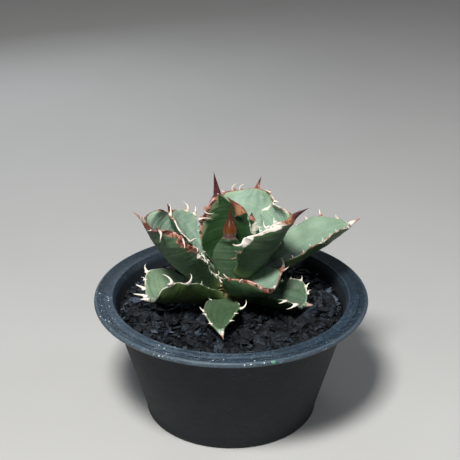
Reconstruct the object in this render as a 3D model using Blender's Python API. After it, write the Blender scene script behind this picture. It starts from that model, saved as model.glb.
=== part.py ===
"""A small spiny agave growing in black gravel in a low round pot.

Sizes are in millimetres and angles in degrees, and each mesh is scaled to metres as it is made.
X runs to the right, Y away from the front and Z up. The origin is in the middle of the pot's base.
"""

import math

import bmesh
import bpy
import numpy as np

MM = 0.001
GAP = 0.3  # left between pieces that touch

# Pot: a thin-walled bowl with a wide flat lip
POT_HEIGHT = 70.0
BASE_RADIUS = 48.0
MOUTH_RADIUS = 64.2
LIP_RADIUS = 75.0
LIP_THICKNESS = 3.0
WALL = 2.4
FLOOR = 3.5
POT_STEPS = 72

# What fills the pot
GRAVEL_TOP = 64.0
GRAVEL_DEPTH = 10.0

# Stem: a post with a domed top, standing on the soil
PLANT_X = 2.0
PLANT_Y = 4.0
STEM_RADIUS = 8.2
STEM_SHOULDER = 67.5
STEM_DOME = 16.5

# Leaf mesh
BLADE_RINGS = 18
SPINE_RINGS = 3
RING_POINTS = 10

# What the leaves of one age share. root is the foot's distance from the stem's axis and rise its
# height over the gravel; wide_at is where along the blade it is widest, foot the share of that
# width left at its foot, shoulder how square it ends (lower is squarer), cup how far each half
# folds up, and spine and spine_radius the end spine's length and its radius where it starts.
AGES = {
    "outer": {
        "root": 10, "rise": 5, "wide_at": 0.75, "foot": 0.35, "shoulder": 0.6, "cup": 55,
        "thick": 6.5, "spine": 5, "spine_radius": 1.7,
    },
    "middle": {
        "root": 10, "rise": 9.5, "wide_at": 0.7, "foot": 0.3, "shoulder": 0.6, "cup": 60,
        "thick": 5.5, "spine": 7, "spine_radius": 1.6,
    },
    "inner": {
        "root": 8, "rise": 16, "wide_at": 0.7, "foot": 0.35, "shoulder": 0.6, "cup": 40,
        "thick": 4.5, "spine": 8, "spine_radius": 1.5,
    },
    "heart": {
        "root": 4, "rise": 20, "wide_at": 0.5, "foot": 0.5, "shoulder": 0.7, "cup": 45,
        "thick": 4.0, "spine": 8, "spine_radius": 1.5,
    },
}  # fmt: skip


def grown(
    age, turn, lift, length, width, curl=0, crook=0, sway=0, roll=0, twist=0, root_turn=0, **own
):
    """A leaf's sizes: its age's, then its own.

    turn is its compass direction, from +X towards +Y, and root_turn how far round the stem from
    there its foot sits. lift is the pitch at the foot; curl, sway and twist are what pitch,
    direction and roll gain by the tip. crook is what pitch gains besides where the blade passes
    into its spine, so that the spine points more level.
    """
    pose = {"turn": turn, "lift": lift, "curl": curl, "crook": crook, "sway": sway, "roll": roll}
    size = {"length": length, "width": width, "twist": twist, "root_turn": root_turn}
    return {**AGES[age], **pose, **size, **own}


LEAVES = {
    "left_low": grown(
        "outer", 200, 10, 40, 54, curl=-5, roll=16, root_turn=14, root=11, foot=0.28, thick=5.6
    ),
    "front_low": grown(
        "outer", 249, 9, 39, 20, curl=-15, sway=32, root_turn=12, root=11, wide_at=0.45,
        foot=0.25, shoulder=0.85, cup=35, thick=6, spine=8,
    ),
    "right_low": grown(
        "outer", 340, 0, 32, 32, roll=-8, twist=8, root_turn=-10, root=9.5, spine=6
    ),
    "front_right": grown(
        "outer", 305, 15, 32, 38, curl=15, sway=-8, roll=5, twist=-20, root_turn=-20, root=8,
        rise=11.5, wide_at=0.45, foot=0.55, shoulder=0.85, cup=60, spine=3,
    ),
    "left_high": grown(
        "middle", 196, 35, 57, 50, curl=35, crook=-30, sway=-5, roll=10, twist=-10, root_turn=-5,
        root=11, rise=10, shoulder=0.45, cup=70, spine=10,
    ),
    "left_inner": grown(
        "inner", 167, 44, 45, 31, curl=20, sway=-5, roll=15, twist=-10, root_turn=10, rise=14.5,
        foot=0.32, spine=5,
    ),
    "right_high": grown(
        "middle", 14, 28, 63, 40, sway=-5, roll=-5, root_turn=5, wide_at=0.65, shoulder=0.8, cup=45
    ),
    "right_inner": grown(
        "inner", 330, 50, 45, 50, curl=18, crook=-35, sway=6, roll=10, root=8.8, rise=19.6, foot=0.48,
        shoulder=0.95, cup=75, spine=12, spine_radius=2.2,
    ),
    "back_high": grown(
        "inner", 75, 45, 48, 36, curl=-5, sway=-10, roll=-5, root_turn=5, root=7.5, rise=16.5, thick=4
    ),
    "heart_left": grown(
        "heart", 125, 75, 41, 30, roll=-15, twist=-10, root_turn=10, root=5, rise=19, wide_at=0.4,
        shoulder=0.9, cup=35, thick=4.8, spine=12, spine_radius=2,
    ),
    "heart_front": grown(
        "heart", 260, 82, 26, 20.5, curl=15, sway=-5, roll=10, root_turn=-10, root=8, rise=16.5,
        wide_at=0.4, foot=0.56, shoulder=0.6, spine=20, spine_radius=3.4,
    ),
    "heart_right": grown(
        "heart", 180, 92, 34, 9, curl=-10, crook=-35, roll=90, root_turn=165, root=4.5, wide_at=0.6,
        foot=0.45, shoulder=0.5, thick=3, spine=11, spine_radius=2.8,
    ),
    "heart_side": grown(
        "heart", 180, 102, 29, 7, curl=-8, roll=90, root_turn=205, root=5, wide_at=0.75,
        foot=0.3, shoulder=0.45, thick=3, spine=3,
    ),
    "heart_back": grown("heart", 180, 90, 20, 5, root=1, rise=24.5, spine=7),
    "back_left_low": grown("outer", 138, 12, 34, 29, root=9, foot=0.45, cup=30),
    "back_low": grown("middle", 92, 12, 40, 28, roll=-8, root_turn=-8, root=9, rise=9, cup=30, thick=4.5),
    "back_right_low": grown("outer", 60, 10, 30, 28, root=9.5, rise=4, cup=30, thick=5),
    "back_left_mid": grown("inner", 122, 28, 33, 21, rise=12, cup=30),
    "back_right_mid": grown("inner", 40, 34, 30, 24, roll=-12, rise=13.5, cup=30),
}  # fmt: skip

LEFT, RIGHT = 1, -1

# The larger teeth: which margin, seen from the foot, how far along the blade, how long, how far
# the tooth leans from straight out towards the leaf's tip, and how steeply it rises.
TEETH = {
    "left_low": [
        (LEFT, 0.65, 5, 0, 75), (LEFT, 0.85, 6, 120, 45),
        (RIGHT, 0.85, 4, -15, 40), (RIGHT, 0.95, 5, 25, 15),
    ],
    "front_low": [(LEFT, 0.45, 4, -60, 60), (RIGHT, 0.6, 2.5, -30, 45)],
    "right_low": [(LEFT, 0.8, 2.5, -30, 30), (LEFT, 0.95, 3, 30, 10), (RIGHT, 0.9, 3, -45, -10)],
    "front_right": [(LEFT, 0.6, 5, -60, 45), (LEFT, 0.75, 3.5, 0, 30), (RIGHT, 0.55, 3, -15, 60)],
    "left_high": [(LEFT, 0.85, 4, -45, -20), (LEFT, 0.95, 5, -15, -20)],
    "left_inner": [(LEFT, 0.6, 4, 0, 75), (RIGHT, 0.75, 5, 30, 15), (RIGHT, 0.85, 5, 60, -10)],
    "right_high": [(LEFT, 0.8, 4, 10, 25), (LEFT, 0.92, 2.5, 15, 25), (RIGHT, 0.7, 2.5, 60, 60)],
    "right_inner": [(RIGHT, 0.4, 2.5, 20, 35), (RIGHT, 0.6, 3, 10, 40), (RIGHT, 0.88, 4, 150, 45)],
    "back_high": [(LEFT, 0.88, 4, 90, 15), (RIGHT, 0.75, 2, 0, 0), (RIGHT, 0.9, 3, 140, 30)],
    "heart_left": [(LEFT, 0.7, 5, 190, 25), (LEFT, 0.8, 5, 200, 30)],
    "back_left_low": [(LEFT, 0.6, 2.5, 0, 20), (RIGHT, 0.75, 2.5, 0, 20)],
    "back_low": [(LEFT, 0.7, 2.5, 0, 20), (RIGHT, 0.55, 2.5, 0, 20), (RIGHT, 0.85, 3, 20, 20)],
    "back_right_low": [(LEFT, 0.75, 2.5, 0, 20), (RIGHT, 0.6, 2.5, 0, 20)],
    "back_left_mid": [(LEFT, 0.7, 2.5, 0, 20), (RIGHT, 0.8, 3, 20, 20)],
    "back_right_mid": [(LEFT, 0.8, 3, 20, 20), (RIGHT, 0.7, 2.5, 0, 20)],
}  # fmt: skip


def clear_scene():
    for obj in list(bpy.data.objects):
        bpy.data.objects.remove(obj, do_unlink=True)


def material(name, colour, roughness, metallic=0.0):
    made = bpy.data.materials.new(name)
    made.use_nodes = True
    shader = made.node_tree.nodes["Principled BSDF"]
    shader.inputs["Base Color"].default_value = (*colour, 1.0)
    shader.inputs["Roughness"].default_value = roughness
    shader.inputs["Metallic"].default_value = metallic
    return made


def add_object(name, mesh, finish):
    obj = bpy.data.objects.new(name, mesh)
    bpy.context.scene.collection.objects.link(obj)
    mesh.materials.append(finish)
    return obj


def turned(name, outline, finish, closed=False):
    """A solid of revolution. outline holds (radius, height) and runs down the outer side."""
    mesh = bpy.data.meshes.new(name)
    points = [(radius * MM, 0.0, height * MM) for radius, height in outline]
    edges = [(i, i + 1) for i in range(len(points) - 1)]
    if closed:
        edges.append((len(points) - 1, 0))
    mesh.from_pydata(points, edges, [])
    obj = add_object(name, mesh, finish)
    screw = obj.modifiers.new("Turn", "SCREW")
    screw.angle = math.tau
    screw.steps = POT_STEPS
    screw.render_steps = POT_STEPS
    screw.use_merge_vertices = True
    screw.merge_threshold = 0.00001
    screw.use_smooth_shade = True
    return obj


def arc(centre, radii, start, end, count):
    """Points (radius, height) along an elliptic arc, with angles from +radius towards +height."""
    angles = np.radians(np.linspace(start, end, count))
    return [(centre[0] + radii[0] * math.cos(a), centre[1] + radii[1] * math.sin(a)) for a in angles]


def inner_radius(height):
    """The pot's inside radius, which grows evenly from the floor to the mouth."""
    floor_radius = BASE_RADIUS - WALL
    return floor_radius + (MOUTH_RADIUS - floor_radius) * (height - FLOOR) / (POT_HEIGHT - FLOOR)


def build_pot():
    lip_bottom = POT_HEIGHT - LIP_THICKNESS
    half = LIP_THICKNESS / 2
    outline = [(0.0, FLOOR), (inner_radius(FLOOR), FLOOR)]
    outline += arc((MOUTH_RADIUS + 1.0, POT_HEIGHT - 1.0), (1.0, 1.0), 180, 90, 4)
    outline += arc((LIP_RADIUS - half, lip_bottom + half), (half, half), 90, -90, 7)
    outline += [(inner_radius(lip_bottom) + WALL, lip_bottom)]
    outline += arc((BASE_RADIUS - 1.5, 1.5), (1.5, 1.5), 0, -90, 4)
    outline += [(0.0, 0.0)]
    turned("pot", outline, material("pot", (0.028, 0.040, 0.052), 0.55))


def build_soil():
    bottom = FLOOR + GAP
    top = GRAVEL_TOP - GRAVEL_DEPTH
    outline = [
        (0.0, top),
        (inner_radius(top) - GAP, top),
        (inner_radius(bottom) - GAP, bottom),
        (0.0, bottom),
    ]
    turned("soil", outline, material("soil", (0.030, 0.022, 0.016), 0.95))


def build_gravel():
    """The top dressing, with a hole that the stem stands in."""
    bottom = GRAVEL_TOP - GRAVEL_DEPTH + GAP
    outline = [
        (0.0, GRAVEL_TOP),
        (inner_radius(GRAVEL_TOP) - GAP, GRAVEL_TOP),
        (inner_radius(bottom) - GAP, bottom),
        (0.0, bottom),
    ]
    gravel = turned("gravel", outline, material("gravel", (0.012, 0.012, 0.014), 0.85))
    cutter = turned(
        "stem_hole",
        [
            (0.0, GRAVEL_TOP + 5),
            (STEM_RADIUS + GAP, GRAVEL_TOP + 5),
            (STEM_RADIUS + GAP, bottom - 5),
            (0.0, bottom - 5),
        ],
        material("stem_hole", (0.5, 0.5, 0.5), 1.0),
    )
    cutter.location = (PLANT_X * MM, PLANT_Y * MM, 0.0)
    cutter.hide_render = True
    cutter.display_type = "WIRE"
    cut = gravel.modifiers.new("Stem hole", "BOOLEAN")
    cut.object = cutter
    cut.operation = "DIFFERENCE"


def build_stem():
    foot = GRAVEL_TOP - GRAVEL_DEPTH + GAP
    outline = arc((0.0, STEM_SHOULDER), (STEM_RADIUS, STEM_DOME), 90, 0, 8)
    outline += [(STEM_RADIUS - 0.6, foot), (0.0, foot)]
    stem = turned("stem", outline, material("stem", (0.22, 0.20, 0.10), 0.8))
    stem.location = (PLANT_X * MM, PLANT_Y * MM, 0.0)


def blade_profile(leaf, share):
    """Half-width over the widest half-width: a swelling foot, then a shoulder down to the spine."""
    swell = np.sin(math.pi / 2 * np.clip(share / leaf["wide_at"], 0, 1)) ** 1.3
    fall = np.clip((share - leaf["wide_at"]) / (1 - leaf["wide_at"]), 0, 1)
    ending = np.cos(math.pi / 2 * fall) ** leaf["shoulder"]
    return np.where(share < leaf["wide_at"], leaf["foot"] + (1 - leaf["foot"]) * swell, ending)


def smoothstep(share):
    share = np.clip(share, 0, 1)
    return share * share * (3 - 2 * share)


def leaf_rings(leaf, teeth):
    """The leaf's cross-sections from foot to spine, in mm, and the spine's point.

    Each section is a lens bent along an arc of half-angle cup, so its two ends are the margins.
    """
    length, spine = leaf["length"], leaf["spine"]
    along = np.concatenate(
        [
            np.linspace(0, length, BLADE_RINGS),
            length + spine * np.linspace(0, 1, SPINE_RINGS + 1)[1:],
        ]
    )
    share = np.clip(along / length, 0, 1)
    in_spine = np.clip((along - length) / spine, 0, 1)

    towards_spine = smoothstep((along / length - 0.85) / 0.3)
    pitch = np.radians(leaf["lift"] + leaf["curl"] * share**1.5 + leaf["crook"] * towards_spine)
    heading = np.radians(leaf["turn"] + leaf["sway"] * share**1.5)
    forward = np.stack(
        [np.cos(pitch) * np.cos(heading), np.cos(pitch) * np.sin(heading), np.sin(pitch)], -1
    )
    foot_angle = math.radians(leaf["turn"] + leaf["root_turn"])
    foot = np.array(
        [
            PLANT_X + leaf["root"] * math.cos(foot_angle),
            PLANT_Y + leaf["root"] * math.sin(foot_angle),
            GRAVEL_TOP + leaf["rise"],
        ]
    )
    steps = (forward[1:] + forward[:-1]) / 2 * np.diff(along)[:, None]
    midrib = foot + np.concatenate([np.zeros((1, 3)), np.cumsum(steps, 0)])

    level = np.stack([-np.sin(heading), np.cos(heading), np.zeros_like(heading)], -1)
    raised = np.cross(forward, level)
    roll = np.radians(leaf["roll"] + leaf["twist"] * share)[:, None]
    left = level * np.cos(roll) + raised * np.sin(roll)
    up = raised * np.cos(roll) - level * np.sin(roll)

    taper = (1 - in_spine) ** 0.8
    tip_radius = leaf["spine_radius"]
    half = np.maximum(leaf["width"] / 2 * blade_profile(leaf, share), tip_radius) * taper
    to_spine = smoothstep((share - 0.8) / 0.2)
    thick = leaf["thick"] * (1 - 0.55 * share) * (1 - to_spine) + 1.7 * tip_radius * to_spine * taper
    cup = np.radians(leaf["cup"]) * (1 - smoothstep((share - 0.92) / 0.08)) + 0.0001

    turn = np.arange(RING_POINTS) * math.tau / RING_POINTS
    bend = cup[:, None] * np.cos(turn)
    depth = np.sin(turn) * np.where(np.sin(turn) > 0, 0.3, 0.7) * thick[:, None]
    across = (half / cup)[:, None] * np.sin(bend) - np.sin(bend) * depth
    height = (half / cup)[:, None] * (1 - np.cos(bend)) + np.cos(bend) * depth
    rings = midrib[:, None] + left[:, None] * across[..., None] + up[:, None] * height[..., None]

    for side, place, size, lean, rise in teeth:
        ring = int(np.argmin(np.abs(along / length - place)))
        margin = 0 if side == LEFT else RING_POINTS // 2
        lean, rise = math.radians(lean), math.radians(rise)
        level_size = size * math.cos(rise)
        out = side * level_size * math.cos(lean) * left[ring]
        on = level_size * math.sin(lean) * forward[ring]
        rings[ring, margin] += out + on + size * math.sin(rise) * up[ring]
    return rings[:-1], midrib[-1]


def build_leaf(name, leaf, teeth, finish):
    rings, point = leaf_rings(leaf, teeth)
    shape = bmesh.new()
    loops = [[shape.verts.new(corner * MM) for corner in ring] for ring in rings]
    tip = shape.verts.new(point * MM)
    shape.faces.new(reversed(loops[0]))
    for here, there in zip(loops, loops[1:]):
        for k in range(RING_POINTS):
            after = (k + 1) % RING_POINTS
            shape.faces.new((here[k], here[after], there[after], there[k]))
    for k in range(RING_POINTS):
        shape.faces.new((loops[-1][k], loops[-1][(k + 1) % RING_POINTS], tip))
    mesh = bpy.data.meshes.new(name)
    shape.to_mesh(mesh)
    shape.free()
    mesh.shade_smooth()
    add_object(name, mesh, finish)


def build_leaves():
    for index, (name, leaf) in enumerate(LEAVES.items()):
        shade = 1.0 + 0.12 * math.sin(2.4 * index)
        colour = (0.20 * shade, 0.32 * shade, 0.22 * shade)
        finish = material("leaf_" + name, colour, 0.5)
        build_leaf("leaf_" + name, leaf, TEETH.get(name, ()), finish)


def main():
    clear_scene()
    build_pot()
    build_soil()
    build_gravel()
    build_stem()
    build_leaves()


main()
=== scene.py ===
"""A small spiny agave in a low round pot of black gravel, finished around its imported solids.

Sizes are in millimetres and angles in degrees; each mesh is scaled to metres as it is made.
"""

import math

import bpy
import numpy as np
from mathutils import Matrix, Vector


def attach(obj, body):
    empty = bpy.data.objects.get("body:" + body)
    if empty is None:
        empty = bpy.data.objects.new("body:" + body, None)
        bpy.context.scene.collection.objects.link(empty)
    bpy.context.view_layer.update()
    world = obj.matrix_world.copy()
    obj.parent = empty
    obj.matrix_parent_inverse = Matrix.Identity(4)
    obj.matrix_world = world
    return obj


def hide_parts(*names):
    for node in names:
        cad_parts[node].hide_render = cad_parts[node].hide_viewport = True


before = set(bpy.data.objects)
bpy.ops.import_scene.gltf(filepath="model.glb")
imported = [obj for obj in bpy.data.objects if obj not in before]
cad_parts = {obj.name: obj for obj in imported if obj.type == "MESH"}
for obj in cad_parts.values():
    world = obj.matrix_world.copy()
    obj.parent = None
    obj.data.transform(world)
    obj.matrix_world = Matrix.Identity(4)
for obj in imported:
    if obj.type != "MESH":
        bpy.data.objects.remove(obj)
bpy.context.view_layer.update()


# ---------------------------------------------------------------------------------------------
# The studio. A pale floor, a soft key light high in front, a faint one low behind that glances
# off the pot's lip, two faint fills and a dim sky, with the camera looking a quarter down.

MM = 0.001
SENSOR = 36.0
LENS = 94.9
CAMERA_DISTANCE = 650.0
CAMERA_ELEVATION = 25.3
CAMERA_AIM = np.array([-0.6, 0.0, 107.8])


class Socket:
    """A shader value: the operators add Math nodes, so a formula reads as one."""

    def __init__(self, graph, out):
        self.graph = graph
        self.out = out

    def _math(self, operation, a, b):
        return self.graph.node("ShaderNodeMath", {"operation": operation}, {0: a, 1: b})

    def __add__(self, other):
        return self._math("ADD", self, other)

    __radd__ = __add__

    def __sub__(self, other):
        return self._math("SUBTRACT", self, other)

    def __rsub__(self, other):
        return self._math("SUBTRACT", other, self)

    def __mul__(self, other):
        return self._math("MULTIPLY", self, other)

    __rmul__ = __mul__

    def __truediv__(self, other):
        return self._math("DIVIDE", self, other)

    def __pow__(self, other):
        return self._math("POWER", self, other)

    def step(self, low, high):
        """0 below low, 1 above high, and smooth between; high may be the lower of the two."""
        flip = high < low
        node = self.graph.node(
            "ShaderNodeMapRange",
            {"interpolation_type": "SMOOTHSTEP"},
            {"Value": self, "From Min": min(low, high), "From Max": max(low, high)},
        )
        return 1.0 - node if flip else node


class Graph:
    """One material's nodes."""

    def __init__(self, name):
        self.material = bpy.data.materials.new(name)
        self.material.use_nodes = True
        self.nodes = self.material.node_tree.nodes
        self.links = self.material.node_tree.links
        self.shader = self.nodes["Principled BSDF"]
        self.place = self.node("ShaderNodeTexCoord", out="Object")

    def put(self, socket, value):
        """Links a socket to a shader value or sets it to a plain one, and a colour to be opaque."""
        if isinstance(value, Socket):
            self.links.new(value.out, socket)
        else:
            socket.default_value = (*value, 1.0) if socket.type == "RGBA" else value

    def node(self, kind, settings=None, inputs=None, out=0):
        """Adds a node: its settings first, then a value or a link for each socket named."""
        made = self.nodes.new(kind)
        for key, value in (settings or {}).items():
            setattr(made, key, value)
        for key, value in (inputs or {}).items():
            self.put(made.inputs[key], value)
        return Socket(self, made.outputs[out])

    def attribute(self, name):
        return self.node("ShaderNodeAttribute", {"attribute_name": name}, out="Fac")

    def placed(self, operation, vector, out=0):
        """Object coordinates and a vector, put through one vector operation."""
        inputs = {0: self.place, 1: vector}
        return self.node("ShaderNodeVectorMath", {"operation": operation}, inputs, out)

    def vector(self, x, y, z):
        return self.node("ShaderNodeCombineXYZ", inputs={0: x, 1: y, 2: z})

    def noise(self, scale, detail, rough=0.5, at=None):
        inputs = {"Vector": at or self.place, "Scale": scale, "Detail": detail, "Roughness": rough}
        return self.node("ShaderNodeTexNoise", inputs=inputs)

    def cells(self, scale):
        """Distance to the nearest of many scattered points."""
        inputs = {"Vector": self.place, "Scale": scale}
        return self.node("ShaderNodeTexVoronoi", inputs=inputs, out="Distance")

    def axis(self, number):
        return self.node("ShaderNodeSeparateXYZ", inputs={0: self.place}, out=number)

    def coats(self, colour, *coats):
        """A colour under coats of (share, colour), with each share from 0, none, to 1, all."""
        for share, coat in coats:
            inputs = {0: share, 6: colour, 7: coat}
            colour = self.node("ShaderNodeMix", {"data_type": "RGBA"}, inputs, out=2)
        return colour

    def bump(self, height, distance, strength, after=None):
        inputs = {"Height": height, "Distance": distance, "Strength": strength}
        if after:
            inputs["Normal"] = after
        return self.node("ShaderNodeBump", inputs=inputs)

    def finish(self, **values):
        """Sets or links the shader's sockets, named with _ for a space, and gives the material."""
        for key, value in values.items():
            self.put(self.shader.inputs[key.replace("_", " ")], value)
        return self.material


def repaint(node, material):
    """Gives a CAD node, shown as it is, a material of its own."""
    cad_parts[node].data.materials.clear()
    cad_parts[node].data.materials.append(material)


def copied(faces, count, step):
    """Faces repeated count times, with vertex numbers step further on each time."""
    return (faces[None] + np.arange(count)[:, None, None] * step).reshape(-1, faces.shape[1])


def tubes(rings, ends, clockwise=False):
    """The points, quads and triangles of closed tubes that all have as many rings and sides.

    rings is (tubes, rings, sides, 3), and ends (tubes, 2, 3), the pole that closes each end. The
    points of one tube are its rings, in order, and then its two poles. clockwise is for rings
    that run clockwise as seen from the last pole, so that the faces still look outwards.
    """
    count, rows, sides = rings.shape[:3]
    each = rows * sides
    here = np.arange(sides)
    after = np.roll(here, -1)
    ring_quads = np.stack([here, after, after + sides, here + sides], -1)
    quads = copied(ring_quads, rows - 1, sides)
    last = each - sides
    caps = np.concatenate(
        [
            np.stack([after, here, np.full(sides, each)], -1),
            np.stack([here + last, after + last, np.full(sides, each + 1)], -1),
        ]
    )
    if clockwise:
        quads, caps = quads[:, ::-1], caps[:, ::-1]
    points = np.concatenate([rings.reshape(count, each, 3), ends], 1).reshape(-1, 3)
    return points, copied(quads, count, each + 2), copied(caps, count, each + 2)


def mesh_object(name, points, quads, triangles, material, smooth=True, **attributes):
    """A mesh from arrays, in millimetres, with one float attribute for each keyword."""
    mesh = bpy.data.meshes.new(name)
    loops = np.concatenate([quads.reshape(-1), triangles.reshape(-1)]).astype(np.int32)
    sizes = np.concatenate([np.full(len(quads), 4), np.full(len(triangles), 3)]).astype(np.int32)
    starts = np.concatenate([[0], np.cumsum(sizes)[:-1]]).astype(np.int32)
    mesh.vertices.add(len(points))
    mesh.vertices.foreach_set("co", (points * MM).astype(np.float32).reshape(-1))
    mesh.loops.add(len(loops))
    mesh.loops.foreach_set("vertex_index", loops)
    mesh.polygons.add(len(sizes))
    mesh.polygons.foreach_set("loop_start", starts)
    mesh.polygons.foreach_set("use_smooth", np.full(len(sizes), smooth))
    mesh.update(calc_edges=True)
    mesh.validate()
    for key, values in attributes.items():
        layer = mesh.attributes.new(key, "FLOAT", "POINT")
        layer.data.foreach_set("value", values.astype(np.float32))
    mesh.materials.append(material)
    made = bpy.data.objects.new(name, mesh)
    bpy.context.scene.collection.objects.link(made)
    return made


def aimed(made, place, target):
    """Puts a camera or light at place, looking at target, both in millimetres."""
    made.location = Vector(place) * MM
    made.rotation_euler = (Vector(target) - Vector(place)).to_track_quat("-Z", "Y").to_euler()
    bpy.context.scene.collection.objects.link(made)


def soft_light(name, place, side, power, colour):
    data = bpy.data.lights.new(name, "AREA")
    data.size = side * MM
    data.energy = power
    data.color = colour
    aimed(bpy.data.objects.new(name, data), place, (0.0, 0.0, 80.0))


camera = bpy.data.cameras.new("Camera")
camera.sensor_width = SENSOR
camera.lens = LENS
camera.clip_start = 0.01
camera_object = bpy.data.objects.new("Camera", camera)
slope = math.radians(CAMERA_ELEVATION)
camera_back = np.array([0.0, -math.cos(slope), math.sin(slope)]) * CAMERA_DISTANCE
aimed(camera_object, tuple(CAMERA_AIM + camera_back), tuple(CAMERA_AIM))
bpy.context.scene.camera = camera_object

soft_light("Key", (-150.0, -440.0, 850.0), 190.0, 12.0, (1.0, 0.985, 0.96))
soft_light("Back", (-260.0, 600.0, 330.0), 360.0, 0.7, (0.86, 0.93, 1.0))
soft_light("Side", (700.0, 150.0, 420.0), 260.0, 1.2, (0.95, 0.98, 1.0))
soft_light("Front", (-450.0, -700.0, 300.0), 500.0, 0.4, (0.92, 0.96, 1.0))

world = bpy.data.worlds.new("Studio")
world.use_nodes = True
world.node_tree.nodes["Background"].inputs["Color"].default_value = (0.80, 0.86, 0.95, 1.0)
world.node_tree.nodes["Background"].inputs["Strength"].default_value = 0.07
bpy.context.scene.world = world
bpy.context.scene.view_settings.view_transform = "Standard"

FLOOR_HALF = 3000.0
floor_graph = Graph("floor")
floor_grain = floor_graph.noise(12.0, 2.0)
floor_material = floor_graph.finish(
    Base_Color=floor_graph.coats((0.47, 0.47, 0.46), (floor_grain, (0.51, 0.51, 0.50))),
    Roughness=0.8,
)
floor_corners = np.array([[-1, -1, 0], [1, -1, 0], [1, 1, 0], [-1, 1, 0]]) * FLOOR_HALF
no_triangles = np.zeros((0, 3), int)
mesh_object("floor", floor_corners, np.array([[0, 1, 2, 3]]), no_triangles, floor_material)


# ---------------------------------------------------------------------------------------------
# The pot. One thin bowl of dark slate-grey plastic, turned smooth, with a wide flat lip that is
# scratched in fine rings where it was wiped and freckled with dried lime.

POT_HEIGHT = 70.0
BASE_RADIUS = 48.0
MOUTH_RADIUS = 64.2
LIP_RADIUS = 75.0
LIP_THICKNESS = 3.0
WALL = 2.4
FLOOR = 3.5
POT_TURNS = 240
LIP_FROM = (POT_HEIGHT - LIP_THICKNESS - 1.5) * MM  # metres, as all is in a material
ALGAE_FLECK = (0.0212, -0.0722, 0.0695)
FLECK_RADIUS = 0.0012


def inner_radius(height):
    """The pot's inside radius, which grows evenly from the floor to the mouth."""
    floor_radius = BASE_RADIUS - WALL
    return floor_radius + (MOUTH_RADIUS - floor_radius) * (height - FLOOR) / (POT_HEIGHT - FLOOR)


def arc(centre, radii, start, end, count):
    """(radius, height) along an elliptic arc, with angles from +radius towards +height."""
    angles = np.radians(np.linspace(start, end, count))
    return np.stack([centre[0] + radii[0] * np.cos(angles), centre[1] + radii[1] * np.sin(angles)], -1)


def lip_top():
    """The lip's upper face: level, a bead at each edge and shallow wiping rings between them."""
    radius = np.linspace(MOUTH_RADIUS + 1.0, LIP_RADIUS - LIP_THICKNESS / 2, 46)
    share = (radius - radius[0]) / (radius[-1] - radius[0])
    rings = 0.05 * np.sin(share * 47.0) + 0.04 * np.sin(share * 83.0 + 1.0)
    dish = -0.35 * np.sin(math.pi * share) ** 0.6
    return np.stack([radius, POT_HEIGHT + dish + rings * np.sin(math.pi * share)], -1)


def turned_surface(outline, turns):
    """A profile of (radius, height) carried round Z; both ends lie on the axis and become poles."""
    angle = np.arange(turns) * math.tau / turns
    radius = outline[1:-1, :1]
    height = np.repeat(outline[1:-1, 1:], turns, 1)
    rings = np.stack([radius * np.cos(angle), radius * np.sin(angle), height], -1)
    ends = np.array([[0, 0, outline[0, 1]], [0, 0, outline[-1, 1]]])
    return tubes(rings[None], ends[None], clockwise=True)


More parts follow.
